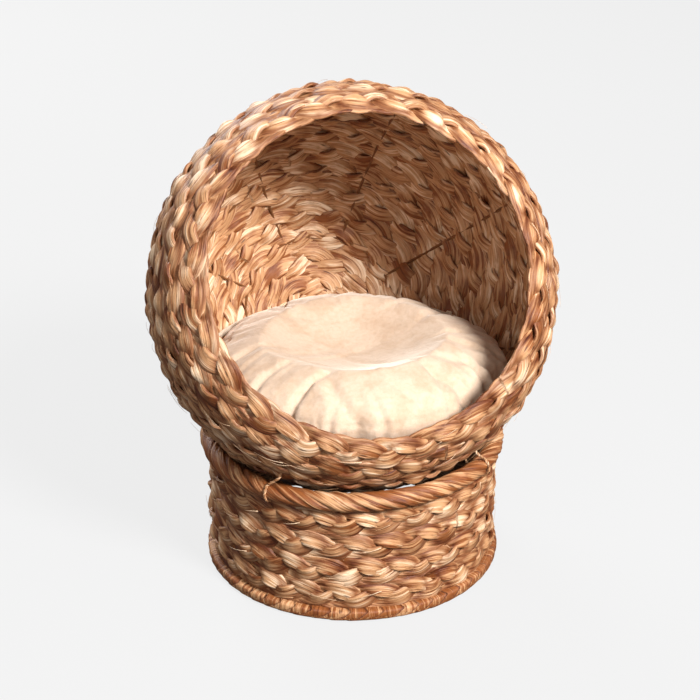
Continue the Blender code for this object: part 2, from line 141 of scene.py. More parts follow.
# ------------------------------------------------------------------ places, read from the frame
class Axis:
    """A line that turned pieces go round."""

    def __init__(self, node, towards):
        spots = points_of(node)
        self.middle = spots.mean(axis=0)
        direction = np.linalg.svd(spots - self.middle, full_matrices=False)[2][2]
        self.direction = direction * np.sign(direction @ np.array(towards))
        self.side = np.array((1.0, 0.0, 0.0))
        self.up = np.cross(self.direction, self.side)

    def section(self, spots):
        """(along the axis, from the axis) of each point."""
        offset = spots - self.middle
        along = offset @ self.direction
        return np.stack((along, np.linalg.norm(offset - along[:, None] * self.direction, axis=1)), axis=1)

    def radial(self, turn):
        """Unit directions away from the axis; turn grows counter-clockwise as seen from its tip."""
        return np.cos(turn)[:, None] * self.side + np.sin(turn)[:, None] * self.up


def read(mesh, field="co"):
    """Places or normals of a mesh's vertices."""
    found = np.empty(len(mesh.vertices) * 3)
    mesh.vertices.foreach_get(field, found)
    return found.reshape(-1, 3)


def points_of(node):
    """Vertices of a CAD node."""
    return read(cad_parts[node].data)


def row_edges(node, axis):
    """Both thin edges of a row as (along, out), the one nearer the axis tip first."""
    spots = np.unique(axis.section(points_of(node)).round(4), axis=0)
    gaps = np.linalg.norm(spots[:, None] - spots[None], axis=2)
    pair = spots[list(np.unravel_index(gaps.argmax(), gaps.shape))]
    return pair[pair[:, 0].argsort()[::-1]]


def lie(edges):
    """A row's middle, direction from edge to edge, outward direction and width, as (along, out)."""
    first, second = edges
    span = hypot(*(second - first))
    middle, over = (first + second) / 2, (second - first) / span
    facing = np.array((over[1], -over[0]))
    return middle, over, facing if facing @ middle > 0 else -facing, span


# ------------------------------------------------------------------ mesh helpers
class Shape:
    """Points, faces and leaf marks that grow piece by piece into one mesh."""

    def __init__(self):
        self.points, self.faces, self.grain, self.tone, self.deep = [], [], [], [], []
        self.count = 0

    def add(self, points, faces, grain, tone, deep):
        """Join a block of points and faces with its marks."""
        self.points.append(points)
        self.faces.append(np.asarray(faces) + self.count)
        self.grain.append(grain)
        self.tone.append(np.broadcast_to(tone, len(points)))
        self.deep.append(np.broadcast_to(deep, len(points)))
        self.count += len(points)

    def piece(self, name, look, body, slot, *replaced):
        """The finished object, riding on its body."""
        mesh = bpy.data.meshes.new(name)
        faces = np.concatenate([block.reshape(-1, 4) for block in self.faces])
        points = np.concatenate(self.points)
        mesh.vertices.add(len(points))
        mesh.vertices.foreach_set("co", points.astype(np.float32).ravel())
        mesh.loops.add(faces.size)
        mesh.loops.foreach_set("vertex_index", faces.astype(np.int32).ravel())
        mesh.polygons.add(len(faces))
        mesh.polygons.foreach_set("loop_start", np.arange(0, faces.size, 4, dtype=np.int32))
        for label, kind, field, values in (("grain", "FLOAT_VECTOR", "vector", self.grain),
                                           ("tone", "FLOAT", "value", self.tone),
                                           ("deep", "FLOAT", "value", self.deep)):
            mark = mesh.attributes.new(label, kind, "POINT")
            mark.data.foreach_set(field, np.concatenate(values).astype(np.float32).ravel())
        mesh.update(calc_edges=True)
        mesh.shade_smooth()
        mesh.materials.append(look)
        made = put(name, mesh)
        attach(made, body)
        if replaced:
            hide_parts(*replaced)
        return made


def wander(rng, count, waves):
    """Smooth noise round a ring, about one unit to each side of zero."""
    turn = 2 * pi * np.arange(count)[:, None] / count * np.arange(1, waves + 1)
    noise = np.cos(turn) @ rng.normal(size=waves) + np.sin(turn) @ rng.normal(size=waves)
    return noise / noise.std()


def unit(vectors):
    """Vectors brought to length one."""
    return vectors / np.linalg.norm(vectors, axis=-1, keepdims=True)


def bell(distance, width):
    """One at no distance, falling smoothly away within a few widths."""
    return np.exp(-(distance / width) ** 2)


def between(value, start, end):
    """Zero up to start, one from end on."""
    return np.clip((value - start) / (end - start), 0, 1)


def wrap(angle):
    """The same angle within half a turn to each side of zero."""
    return np.angle(np.exp(1j * angle))


def put(name, data):
    """An object in the scene."""
    made = bpy.data.objects.new(name, data)
    bpy.context.scene.collection.objects.link(made)
    return made


def blunt(wave, power):
    """A cosine or sine that makes a round section squarer as the power nears zero."""
    return np.sign(wave) * np.abs(wave) ** power


def grid_faces(rows, columns, closed=True):
    """Quads of a grid whose columns wrap, and whose rows wrap if it is closed."""
    row = np.arange(rows if closed else rows - 1)[:, None]
    column = np.arange(columns)[None]
    after, beside = (row + 1) % rows, (column + 1) % columns
    return np.stack((row * columns + column, row * columns + beside,
                     after * columns + beside, after * columns + column), axis=2).reshape(-1, 4)


def sweep(shape, centre, across, outward, half_width, half_thickness, roll, fold, rng, tone, start,
          sides=24, base=None):
    """A closed flattened leaf bundle along centre, with lengthwise folds.

    Tone is the bundle's ripeness, start its place along the leaf, and base the line that the plait is
    laid on, near which the leaf is darkened with painted shade.
    """
    count = len(centre)
    round_ends, flat_faces = 0.85, 0.62
    shaded = 1.4 * MM
    ahead = unit(np.roll(centre, -1, axis=0) - np.roll(centre, 1, axis=0))
    beside = unit(across - ahead * (across * ahead).sum(axis=1, keepdims=True))
    above = np.cross(ahead, beside)
    above *= np.sign((above * outward).sum(axis=1, keepdims=True))
    lean, level = np.sin(roll)[:, None], np.cos(roll)[:, None]
    beside, above = beside * level - above * lean, above * level + beside * lean
    turn = 2 * pi * np.arange(sides) / sides
    x = blunt(np.cos(turn), round_ends) * half_width[:, None]
    y = blunt(np.sin(turn), flat_faces) * half_thickness[:, None]
    steps = np.linalg.norm(np.roll(centre, -1, axis=0) - centre, axis=1)
    run = np.concatenate(([0.0], np.cumsum(steps)[:-1]))
    drift_waves, fade_waves = (max(3, int(run[-1] / length)) for length in (70 * MM, 40 * MM))
    for width, share in FOLDS:
        drift = 0.5 * wander(rng, count, drift_waves)[:, None] + rng.uniform()
        crease = 1.0 - 2.0 * np.abs(np.sin(pi * (x / width + drift)))
        fade = 0.7 + 0.3 * wander(rng, count, fade_waves)[:, None]
        y = y + np.sin(turn) * fold * share * crease * fade
        x = x + np.cos(turn) * 0.4 * fold * share * crease * fade
    points = centre[:, None] + beside[:, None] * x[..., None] + above[:, None] * y[..., None]
    grain = np.stack(np.broadcast_arrays(x, y, (run + start)[:, None]), axis=2)
    # The deep mark is painted shade: it darkens the bundle at its thin edges, and on a plait also where the surface
    # lies low, near the base between the strands.
    if base is None:
        deep = np.broadcast_to(1.0 - np.abs(np.sin(turn)) ** 0.7, x.shape) * 0.5
    else:
        height = ((points - base[:, None]) * outward[:, None]).sum(axis=2)
        deep = np.maximum(bell(height, shaded), 0.9 * np.abs(np.cos(turn)) ** 14)
    shape.add(points.reshape(-1, 3), grid_faces(count, sides), grain.reshape(-1, 3),
              np.repeat(tone, sides), deep.ravel())


def plait(shape, axis, edges, leaf, rng, scale=1.0, step=2.7 * MM):
    """A closed three-strand plait on the ring between two edges."""
    middle, over, facing, span = lie(edges)
    # A strand's course has a blunter turn at the plait's edges than a plain wave.
    blunter = 0.09
    # Hand work runs unevenly: these are shares of each size, and radians for the course and the roll.
    course_off, sway_off, lift_off, width_off, roll_off, tone_off = 0.10, 0.06, 0.12, 0.08, 0.10, 0.30
    length = 2 * pi * middle[1]
    count = max(48, ceil(length / step))
    periods = max(1, round(length / (leaf.lay * scale)))
    radial = axis.radial(-2 * pi * (np.arange(count) / count + rng.uniform()))
    base = axis.middle + axis.direction * middle[0] + radial * middle[1]
    across = axis.direction * over[0] + radial * over[1]
    outward = axis.direction * facing[0] + radial * facing[1]
    for strand in range(3):
        phase = 2 * pi * (periods * np.arange(count) / count + strand / 3)
        phase = phase + course_off * wander(rng, count, periods)
        sideways = leaf.sway * scale * (np.sin(phase) + blunter * np.sin(3 * phase)) / (1 - blunter)
        sideways = sideways * (1 + sway_off * wander(rng, count, 2 * periods))
        height = leaf.lift * scale * np.sin(2 * phase) * (1 + lift_off * wander(rng, count, 2 * periods))
        height = height - leaf.inset + 0.25 * MM * wander(rng, count, 3 * periods)
        # On top of a crossing the bundle is pressed wide and thin.
        crossing = np.abs(np.sin(2 * phase))
        width = leaf.strand_width * scale / 2 * (0.78 + 0.28 * crossing)
        width = width * (1 + width_off * wander(rng, count, 3 * periods))
        thick = leaf.strand_thickness * scale / 2 * (1.12 - 0.16 * crossing)
        roll = leaf.tilt * 1.3 * np.sin(phase) * np.sin(2 * phase) + roll_off * wander(rng, count, 3 * periods)
        tone = 0.5 + tone_off * wander(rng, count, 3 * periods)
        sweep(shape, base + across * sideways[:, None] + outward * height[:, None], across, outward,
              width, thick, roll, leaf.fold, rng, tone, rng.uniform(0, 9), base=base)
    # A filler leaf lies under each plait's edge, so that no light comes through the joints. Its low tone of 0.2
    # darkens it: painted shade in the joints.
    under = base + across * (span / 2 - 1.0 * MM) - outward * 3.6 * MM
    sweep(shape, under, across, outward, np.full(count, 5.5 * MM * scale), np.full(count, 1.1 * MM),
          np.zeros(count), 0.0, rng, np.full(count, 0.2), rng.uniform(0, 9), sides=10, base=base)


# ------------------------------------------------------------------ materials
def linear(code):
    """An sRGB hex colour as linear RGBA."""
    channels = [int(code[k:k + 2], 16) / 255 for k in (0, 2, 4)]
    return [c / 12.92 if c <= 0.04045 else ((c + 0.055) / 1.055) ** 2.4 for c in channels] + [1.0]


def plug(tree, node, inputs):
    """Set a node's inputs to values, to sRGB hex colours or to other nodes' outputs."""
    for socket, value in inputs.items():
        if isinstance(value, bpy.types.NodeSocket):
            tree.links.new(value, node.inputs[socket])
        else:
            node.inputs[socket].default_value = linear(value) if isinstance(value, str) else value


def add(tree, kind, inputs, output=0, stops=(), **settings):
    """Add a node with its settings, colour stops and links, and give the output that is used."""
    node = tree.nodes.new("ShaderNode" + kind)
    for name, value in settings.items():
        setattr(node, name, value)
    if stops:
        elements = node.color_ramp.elements
        for _ in stops[2:]:
            elements.new(0.5)
        for element, (place, colour) in zip(elements, stops):
            element.position, element.color = place, linear(colour)
    plug(tree, node, inputs)
    return node.outputs[output]


def blank(name):
    """A material with a bare Principled shader."""
    made = bpy.data.materials.new(name)
    made.use_nodes = True
    return made, made.node_tree, made.node_tree.nodes["Principled BSDF"]


def per(*sizes):
    """How often a pattern repeats in a metre, from its sizes in millimetres."""
    return [1 / (size * MM) for size in sizes]


def finish(tree, shader, pattern, stops, roughness, relief, strength):
    """Let one pattern give a surface its colour, its gloss and its relief; roughness is (least, more)."""
    plug(tree, shader, {
        "Base Color": add(tree, "ValToRGB", {0: pattern}, stops=stops),
        "Roughness": add(tree, "Math", {0: pattern, 1: roughness[1], 2: roughness[0]}, operation="MULTIPLY_ADD"),
        "Normal": add(tree, "Bump", {"Height": pattern, "Distance": relief, "Strength": strength})})


def leaf_material(name, leaf, warmth=0.0, gloss=0.50):
    """Dried water hyacinth leaf, pressed flat, plaited by hand and dipped in thin clear lacquer.

    The eye sees long fibres, leaves of different ripeness side by side, stem knots and a soft satin; the
    crevices and thin edges are darkened with painted shade.
    """
    made, tree, shader = blank(name)
    grain = add(tree, "Attribute", {}, "Vector", attribute_name="grain")
    tone, deep = (add(tree, "Attribute", {}, "Fac", attribute_name=mark) for mark in ("tone", "deep"))
    leaves, fibres, seams, stains = (
        add(tree, "TexNoise", {
            "Vector": add(tree, "VectorMath", {0: grain, 1: per(*sizes)}, operation="MULTIPLY"),
            "Scale": 1.0, "Detail": detail, "Roughness": roughness})
        for sizes, detail, roughness in (
            # Single leaves are 3 to 5 mm wide in a bundle and change every 6 to 9 cm.
            ((3.6, 5, 75), 2.0, 0.50),
            # Fibres are about 0.2 mm apart, drawn at 0.9 mm so that they show.
            ((0.9, 0.9, 26), 3.0, 0.60),
            # Dark seams where one leaf ends on the next, every 3 to 4 mm.
            ((1.9, 1.9, 48), 1.0, 0.50),
            # Water stains 10 to 20 mm long.
            ((7, 7, 16), 4.0, 0.50)))
    # Knots are 2 mm by 6 mm and sparse.
    knots = add(tree, "TexVoronoi", {
        "Vector": add(tree, "VectorMath", {0: grain, 1: per(9, 9, 42)}, operation="MULTIPLY"), "Scale": 1.0},
        "Distance", feature="F1")
    knots = add(tree, "ValToRGB", {0: knots}, stops=((0.07, "ffffff"), (0.13, "000000")))
    # Ripeness is brown near zero and pale near one.
    ripe = warmth - 1.175
    for pattern, weight in ((tone, 0.60), (leaves, 1.9), (fibres, 0.85)):
        ripe = add(tree, "Math", {0: pattern, 1: weight, 2: ripe}, operation="MULTIPLY_ADD")
    colour = add(tree, "ValToRGB", {0: ripe}, stops=(
        (0.12, leaf.brown), (0.40, leaf.straw), (0.60, leaf.straw), (0.92, leaf.pale)))
    stained = add(tree, "ValToRGB", {0: stains}, stops=((0.30, "bc9b7c"), (0.46, "f8f3ed"), (0.60, "ffffff")))
    seamed = add(tree, "ValToRGB", {0: seams}, stops=((0.30, "ad8661"), (0.40, "ffffff")))
    # Painted shade: the deep mark multiplies the leaf by the warm brown 996c45 in the crevices and at the bundles'
    # thin edges.
    knotted, painted_shade = (add(tree, "Math", {0: mask, 1: share}, operation="MULTIPLY")
                     for mask, share in ((knots, 0.75), (deep, 0.85)))
    for blend, share, tint in (("MULTIPLY", 0.75, stained), ("MIX", knotted, leaf.dark),
                               ("MULTIPLY", 0.85, seamed), ("MULTIPLY", painted_shade, "996c45")):
        colour = add(tree, "Mix", {0: share, 6: colour, 7: tint}, 2, data_type="RGBA", blend_type=blend)
    relief = leaves
    for pattern, weight in ((fibres, 0.7), (seams, 1.0)):
        relief = add(tree, "Math", {0: pattern, 1: weight, 2: relief}, operation="MULTIPLY_ADD")
    plug(tree, shader, {
        "Base Color": colour,
        "Roughness": add(tree, "Math", {0: fibres, 1: 0.22, 2: gloss - 0.11}, operation="MULTIPLY_ADD"),
        "Normal": add(tree, "Bump", {"Height": relief, "Distance": 1.0 * MM, "Strength": 1.0}),
        "IOR": 1.46, "Specular IOR Level": 0.42})
    return made


def plush_material(name, cushion):
    """Polyester plush, knitted with a cut pile 1 to 2 mm long.

    The eye sees a soft pale sheen at the edges and hand marks where the pile lies another way.
    """
    made, tree, shader = blank(name)
    place = add(tree, "TexCoord", {}, "Object")
    brushed, pile, clumps = (
        add(tree, "TexNoise", {
            "Vector": add(tree, "VectorMath", {0: place, 1: per(size, size, size)}, operation="MULTIPLY"),
            "Scale": 1.0, "Detail": detail, "Distortion": distortion})
        for size, detail, distortion in (
            # Brush marks are 2 to 4 cm across.
            (26, 2.5, 0.6),
            # Pile tips are 0.3 mm apart, drawn at 0.8 mm so that they show.
            (0.8, 2.0, 0.0),
            # Tips cling together in clumps 3 to 6 mm across.
            (4.5, 3.0, 0.0)))
    colour = add(tree, "ValToRGB", {0: brushed}, stops=((0.34, cushion.shade), (0.56, cushion.plush)))
    for pattern, share, clear, tint in ((clumps, 0.50, 0.60, "efe7df"), (pile, 0.35, 0.62, "eae2da")):
        shading = add(tree, "ValToRGB", {0: pattern}, stops=((0.30, tint), (clear, "ffffff")))
        colour = add(tree, "Mix", {0: share, 6: colour, 7: shading}, 2, data_type="RGBA", blend_type="MULTIPLY")
    relief = add(tree, "Math", {0: pile, 1: 0.6}, operation="MULTIPLY")
    relief = add(tree, "Math", {0: clumps, 1: 1.6, 2: relief}, operation="MULTIPLY_ADD")
    plug(tree, shader, {
        "Base Color": colour,
        "Roughness": add(tree, "Math", {0: pile, 1: 0.10, 2: 0.82}, operation="MULTIPLY_ADD"),
        "Normal": add(tree, "Bump", {"Height": relief, "Distance": 0.5 * MM, "Strength": 0.7}),
        "Specular IOR Level": 0.25, "Sheen Weight": 0.55, "Sheen Roughness": 0.45, "Sheen Tint": "fff4e6"})
    return made


def wire_material():
    """Mild steel wire, welded and dipped in dark brown lacquer, which leaves it slightly uneven and glossy."""
    made, tree, shader = blank("brown_lacquered_steel_wire")
    # Runs in the lacquer are 5 mm long.
    place = add(tree, "VectorMath", {0: add(tree, "TexCoord", {}, "Object"), 1: per(5, 5, 5)}, operation="MULTIPLY")
    runs = add(tree, "TexNoise", {"Vector": place, "Scale": 1.0, "Detail": 3.0})
    finish(tree, shader, runs, ((0.35, "6a4325"), (0.70, "8a5a36")), (0.25, 0.30), 0.3 * MM, 0.4)
    plug(tree, shader, {"IOR": 1.50})
    return made


def tape_material():
    """Polyester zip tape, woven in fine ribs along its length, dyed cream and matt."""
    made, tree, shader = blank("woven_polyester_zip_tape")
    # Ribs are 0.5 mm apart, drawn at 1 mm so that they show.
    place = add(tree, "VectorMath", {0: add(tree, "TexCoord", {}, "Object"), 1: per(1, 1, 1)}, operation="MULTIPLY")
    ribs = add(tree, "TexWave", {"Vector": place, "Scale": 0.5, "Distortion": 0.8, "Detail": 2.0}, "Fac",
               bands_direction="Z")
    finish(tree, shader, ribs, ((0.10, "cbb69c"), (0.80, "e6d6c2")), (0.70, 0.15), 0.2 * MM, 0.6)
    return made


def zip_material():
    """Zinc alloy zip slider and nylon coil, enamelled or dyed cream, with a smooth low gloss and rubbed edges."""
    made, tree, shader = blank("cream_enamelled_zinc")
    # Rubbed spots are 2 mm across.
    place = add(tree, "VectorMath", {0: add(tree, "TexCoord", {}, "Object"), 1: per(2, 2, 2)}, operation="MULTIPLY")
    rubbed = add(tree, "TexNoise", {"Vector": place, "Scale": 1.0, "Detail": 4.0})
    finish(tree, shader, rubbed, ((0.30, "bfae97"), (0.60, "e2d3be")), (0.28, 0.25), 0.1 * MM, 0.3)
    return made


# ------------------------------------------------------------------ operators
class PETBED_OT_pod_plait(bpy.types.Operator):
    """Plait the rows of the pod and its back disc."""
    bl_idname = "petbed.pod_plait"
    bl_label = "Pod plait"

    def execute(self, context):
        leaf = context.scene.petbed_leaf
        axis = Axis("pod_rim_plait", (0, -1, 1))
        look = leaf_material("lacquered_hyacinth_pod", leaf)
        rows = sorted(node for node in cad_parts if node.startswith("pod_plait_row"))
        for index, node in enumerate(["pod_rim_plait"] + rows):
            rng = np.random.default_rng((leaf.seed, DRAWS["pod"] + index))
            shape = Shape()
            plait(shape, axis, row_edges(node, axis), leaf, rng)
            name = "rim_plait_strands" if index == 0 else "pod_plait_strands_%02d" % (index + 1)
            shape.piece(name, look, "basket", "pod_plait", node)
        # The disc is two rings of a finer plait, which meet at this share of its radius on the bowl.
        share = 0.46
        disc = axis.section(points_of("pod_back_disc"))
        rim, hub = disc[disc[:, 1].argmax()], disc[disc[:, 1] < 1 * MM].mean(axis=0)
        joint = hub + (rim - hub) * share
        joint[0] = hub[0] + (rim[0] - hub[0]) * share ** 2
        rng = np.random.default_rng((leaf.seed, DRAWS["disc"]))
        shape = Shape()
        plait(shape, axis, (rim, joint), leaf, rng, scale=0.95)
        plait(shape, axis, (joint, hub), leaf, rng, scale=0.84, step=1.8 * MM)
        shape.piece("pod_back_rosette", look, "basket", "pod_plait", "pod_back_disc")
        return {"FINISHED"}


class PETBED_OT_drum_plait(bpy.types.Operator):
    """Plait the rows of the drum."""
    bl_idname = "petbed.drum_plait"
    bl_label = "Drum plait"

    def execute(self, context):
        leaf = context.scene.petbed_leaf
        axis = Axis("base_rope_border", (0, 0, 1))
        look = leaf_material("lacquered_hyacinth_drum", leaf, warmth=-0.05)
        for index, node in enumerate(sorted(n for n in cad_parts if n.startswith("base_plait_row"))):
            rng = np.random.default_rng((leaf.seed, DRAWS["drum"] + index))
            shape = Shape()
            plait(shape, axis, row_edges(node, axis), leaf, rng)
            shape.piece("drum_plait_strands_%d" % (index + 1), look, "basket", "base_plait", node)
        return {"FINISHED"}


class PETBED_OT_rope_border(bpy.types.Operator):
    """Twist the rope on top of the drum from three leaf strands."""
    bl_idname = "petbed.rope_border"
    bl_label = "Rope border"

    def execute(self, context):
        leaf = context.scene.petbed_leaf
        axis = Axis("base_rope_border", (0, 0, 1))
        ring = axis.section(points_of("base_rope_border"))
        along, out = (ring.max(axis=0) + ring.min(axis=0)) / 2
        thick = np.ptp(ring[:, 0]) / 2
        lay, step = 105 * MM, 2.2 * MM
        # Each strand's distance from the rope's middle and its half sizes, as shares of the rope's half thickness.
        apart, half_width, half_thickness = 0.50, 0.74, 0.52
        length = 2 * pi * out
        count = ceil(length / step)
        twists = round(length / lay)
        turn = 2 * pi * np.arange(count) / count
        radial = axis.radial(turn)
        base = axis.middle + axis.direction * along + radial * out
        rng = np.random.default_rng((leaf.seed, DRAWS["rope"]))
        shape = Shape()
        for strand in range(3):
            spin = -(twists * turn + 2 * pi * strand / 3) + 0.10 * wander(rng, count, 2 * twists)
            outward = radial * np.cos(spin)[:, None] + axis.direction * np.sin(spin)[:, None]
            across = axis.direction * np.cos(spin)[:, None] - radial * np.sin(spin)[:, None]
            centre = base + outward * (thick * apart * (1 + 0.05 * wander(rng, count, 3 * twists)))[:, None]
            width = thick * half_width * (1 + 0.08 * wander(rng, count, 3 * twists))
            sweep(shape, centre, across, outward, width, np.full(count, thick * half_thickness),
                  0.08 * wander(rng, count, 3 * twists), leaf.fold, rng,
                  0.46 + 0.22 * wander(rng, count, 2 * twists), rng.uniform(0, 9))
        # The rope's leaf is set darker than the plait's, with warmth -0.30: painted shade for the pod's overhang
        # above it.
        look = leaf_material("twisted_hyacinth_rope", leaf, warmth=-0.30)
        shape.piece("rope_border_strands", look, "basket", "rope", "base_rope_border")
        return {"FINISHED"}


class PETBED_OT_foot_rim(bpy.types.Operator):
    """Wind the foot rim with leaf strip."""
    bl_idname = "petbed.foot_rim"
    bl_label = "Foot rim"

    def execute(self, context):
        leaf = context.scene.petbed_leaf
        axis = Axis("base_rope_border", (0, 0, 1))
        low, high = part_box("base_foot_rim")
        ring = axis.section(points_of("base_foot_rim"))
        inner, outer = ring[:, 1].min(), ring[:, 1].max()
        half_out, half_up = (outer - inner) / 2 + 0.6 * MM, (high.z - low.z) / 2
        middle = (inner + outer) / 2
        strip_width, strip_thickness, turn_length = 19 * MM, 0.9 * MM, 55 * MM
        # Each turn of the strip lies on the one before, so it falls from its free edge to the next turn.
        shares = np.array((0.0, 0.05, 0.22, 0.42, 0.62, 0.82, 0.97))
        raised = np.array((0.85, 1.0, 0.80, 0.62, 0.45, 0.28, 0.10)) * strip_thickness
        sides, square = 28, 0.55
        strips = round(2 * pi * outer / strip_width)
        rng = np.random.default_rng((leaf.seed, DRAWS["foot"]))
        shape = Shape()
        width = 1 + 0.10 * rng.normal(size=strips).clip(-1.5, 1.5)
        starts = np.concatenate(([0.0], np.cumsum(width)[:-1])) / width.sum()
        place = (starts[:, None] + shares * (width / width.sum())[:, None]).ravel()
        lift = np.tile(raised, strips) * np.repeat(1 + 0.35 * rng.normal(size=strips).clip(-1.5, 1.5), len(shares))
        tone = np.repeat(0.40 + 0.22 * rng.normal(size=strips).clip(-2, 2), len(shares))
        start = np.repeat(rng.uniform(0, 9, size=strips), len(shares))
        around = 2 * pi * np.arange(sides) / sides
        slant = 10 * MM / middle * np.sin(around) + 4 * MM / middle * np.sin(2 * around + 1)
        x, y = blunt(np.cos(around), square), blunt(np.sin(around), square)
        turn = 2 * pi * place[:, None] + slant
        out = middle + x * (half_out - strip_thickness + lift[:, None])
        # Underneath it is pressed flat by the floor.
        level = half_up + low.z + y * (half_up - 0.95 * MM * (y > 0)) + np.where(y > 0, y * lift[:, None], 0.0)
        radial = axis.side * np.cos(turn)[..., None] + axis.up * np.sin(turn)[..., None]
        floor = np.array((axis.middle[0], axis.middle[1], 0.0))
        points = floor + radial * out[..., None] + np.array((0, 0, 1.0)) * level[..., None]
        run = np.broadcast_to(around / (2 * pi) * turn_length, turn.shape)
        grain = np.stack((turn * middle, np.zeros_like(turn), run + start[:, None]), axis=2)
        # Painted shade: the end of each turn, tucked under the next turn, is darkened.
        deep = np.broadcast_to(np.tile((shares > 0.9) * 0.9, strips)[:, None], turn.shape)
        faces = grid_faces(len(place), sides)
        shape.add(points.reshape(-1, 3), faces, grain.reshape(-1, 3), np.repeat(tone, sides), deep.ravel())
        look = leaf_material("wound_hyacinth_strip", leaf, warmth=-0.28, gloss=0.56)
        shape.piece("foot_rim_strip", look, "basket", "foot_wrap", "base_foot_rim")
        return {"FINISHED"}


class PETBED_OT_ties(bpy.types.Operator):
    """Twist the cords that tie the pod to the rope border."""
    bl_idname = "petbed.ties"
    bl_label = "Ties"

    def execute(self, context):
        leaf = context.scene.petbed_leaf
        look = leaf_material("twisted_leaf_cord", leaf, warmth=0.02, gloss=0.6)
        lay, apart, half_width, half_thickness = 9 * MM, 0.75 * MM, 0.95 * MM, 0.8 * MM
        for index, node in enumerate(sorted(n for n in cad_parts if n.startswith("lashing"))):
            rng = np.random.default_rng((leaf.seed, DRAWS["ties"] + index))
            loop = self.loop(points_of(node))
            count = len(loop)
            length = np.linalg.norm(np.roll(loop, -1, axis=0) - loop, axis=1).sum()
            ahead = unit(np.roll(loop, -1, axis=0) - np.roll(loop, 1, axis=0))
            facing = np.linalg.svd(loop - loop.mean(axis=0))[2][2]
            beside = np.broadcast_to(facing, loop.shape)
            above = unit(np.cross(ahead, beside))
            twists = round(length / lay)
            shape = Shape()
            for strand in range(2):
                spin = 2 * pi * twists * np.arange(count) / count + pi * strand
                outward = beside * np.cos(spin)[:, None] + above * np.sin(spin)[:, None]
                across = np.cross(ahead, outward)
                sweep(shape, loop + outward * apart, across, outward, np.full(count, half_width),
                      np.full(count, half_thickness), np.zeros(count), leaf.fold * 0.12, rng,
                      0.6 + 0.1 * wander(rng, count, 9), rng.uniform(0, 9), sides=10)
            shape.piece(node + "_cord", look, "basket", "tie", node)
        return {"FINISHED"}

    @staticmethod
    def loop(spots):
        """Closed centre line of a bent round rod, smooth and evenly stepped."""
        gap, step, smoothings = radians(5), 0.7 * MM, 4
        middle = spots.mean(axis=0)
        flat = np.linalg.svd(spots - middle, full_matrices=False)[2]
        turn = np.arctan2((spots - middle) @ flat[1], (spots - middle) @ flat[0])
        order = turn.argsort()
        spots, turn = spots[order], turn[order]
        cuts = np.flatnonzero(np.diff(turn) > gap) + 1
        knots = np.array([group.mean(axis=0) for group in np.split(spots, cuts)])
        dense = np.concatenate((knots, knots[:1]))
        run = np.concatenate(([0.0], np.cumsum(np.linalg.norm(np.diff(dense, axis=0), axis=1))))
        even = np.linspace(0.0, run[-1], ceil(run[-1] / step), endpoint=False)
        line = np.stack([np.interp(even, run, dense[:, k]) for k in range(3)], axis=1)
        for _ in range(smoothings):
            line = (np.roll(line, 1, axis=0) + 2 * line + np.roll(line, -1, axis=0)) / 4
        return line


class PETBED_OT_fibres(bpy.types.Operator):
    """Lift loose fibres and split leaf ends from the plait."""
    bl_idname = "petbed.fibres"
    bl_label = "Loose fibres"

    def execute(self, context):
        leaf = context.scene.petbed_leaf
        look = leaf_material("split_leaf_fibre", leaf, warmth=0.16, gloss=0.6)
        pod = Axis("pod_rim_plait", (0, -1, 1))
        drum = Axis("base_rope_border", (0, 0, 1))
        for label, axis, start, slot, each in (("pod", pod, "pod_", "pod_plait", 13),
                                               ("drum", drum, "base_plait", "base_plait", 14)):
            rng = np.random.default_rng((leaf.seed, DRAWS[label + "_fibres"]))
            shape = Shape()
            nodes = sorted(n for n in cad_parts
                           if n.startswith(start) and not n.endswith(("disc", "frame")))
            for node in nodes:
                edges = row_edges(node, axis)
                for _ in range(each):
                    self.blade(shape, axis, edges, rng)
            shape.piece(label + "_loose_fibres", look, "basket", slot)
        return {"FINISHED"}

    @staticmethod
    def blade(shape, axis, edges, rng):
        """One thin pointed fibre that leaves the surface and falls back to it."""
        middle, over, facing, _ = lie(edges)
        foot, sunk, thin = 5.0 * MM, 1.2 * MM, 0.12 * MM
        length = rng.uniform(9, 34) * MM
        share = np.linspace(0, 1, 7)
        turn = rng.uniform(0, 2 * pi) - length / middle[1] * share
        spread = rng.uniform(-8, 8) * MM + rng.uniform(-7, 7) * MM * share
        rise = rng.uniform(0.6, 2.4) * MM
        height = foot + rise * np.sin(pi * share * rng.uniform(0.5, 1.0)) - sunk * (1 - share)
        along = middle[0] + over[0] * spread + facing[0] * height
        out = middle[1] + over[1] * spread + facing[1] * height
        radial = axis.radial(turn)
        line = axis.middle + axis.direction * along[:, None] + radial * out[:, None]
        outward = axis.direction * facing[0] + radial * facing[1]
        ahead = unit(np.gradient(line, axis=0))
        beside = unit(np.cross(ahead, outward))
        wide = rng.uniform(0.25, 0.8) * MM * (1 - 0.9 * share)
        corners = np.stack((line + beside * wide[:, None], line + outward * thin,
                            line - beside * wide[:, None], line - outward * thin), axis=1)
        faces = grid_faces(len(share), 4, closed=False)
        last = 4 * (len(share) - 1)
        faces = np.concatenate((faces, [(3, 2, 1, 0), (last, last + 1, last + 2, last + 3)]))
        grain = np.stack((np.tile((1, 0, -1, 0), len(share)) * 0.4 * MM, np.zeros(4 * len(share)),
                          np.repeat(share * length, 4) + rng.uniform(0, 9)), axis=1)
        shape.add(corners.reshape(-1, 3), faces, grain, rng.uniform(0.4, 1.0), 0.0)


class PETBED_OT_wires(bpy.types.Operator):
    """Give the wire frames their brown lacquer."""
    bl_idname = "petbed.wires"
    bl_label = "Wire frames"

    def execute(self, context):
        look = wire_material()
        for node in ("pod_wire_frame", "base_wire_frame"):
            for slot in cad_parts[node].material_slots:
                slot.material = look
        return {"FINISHED"}


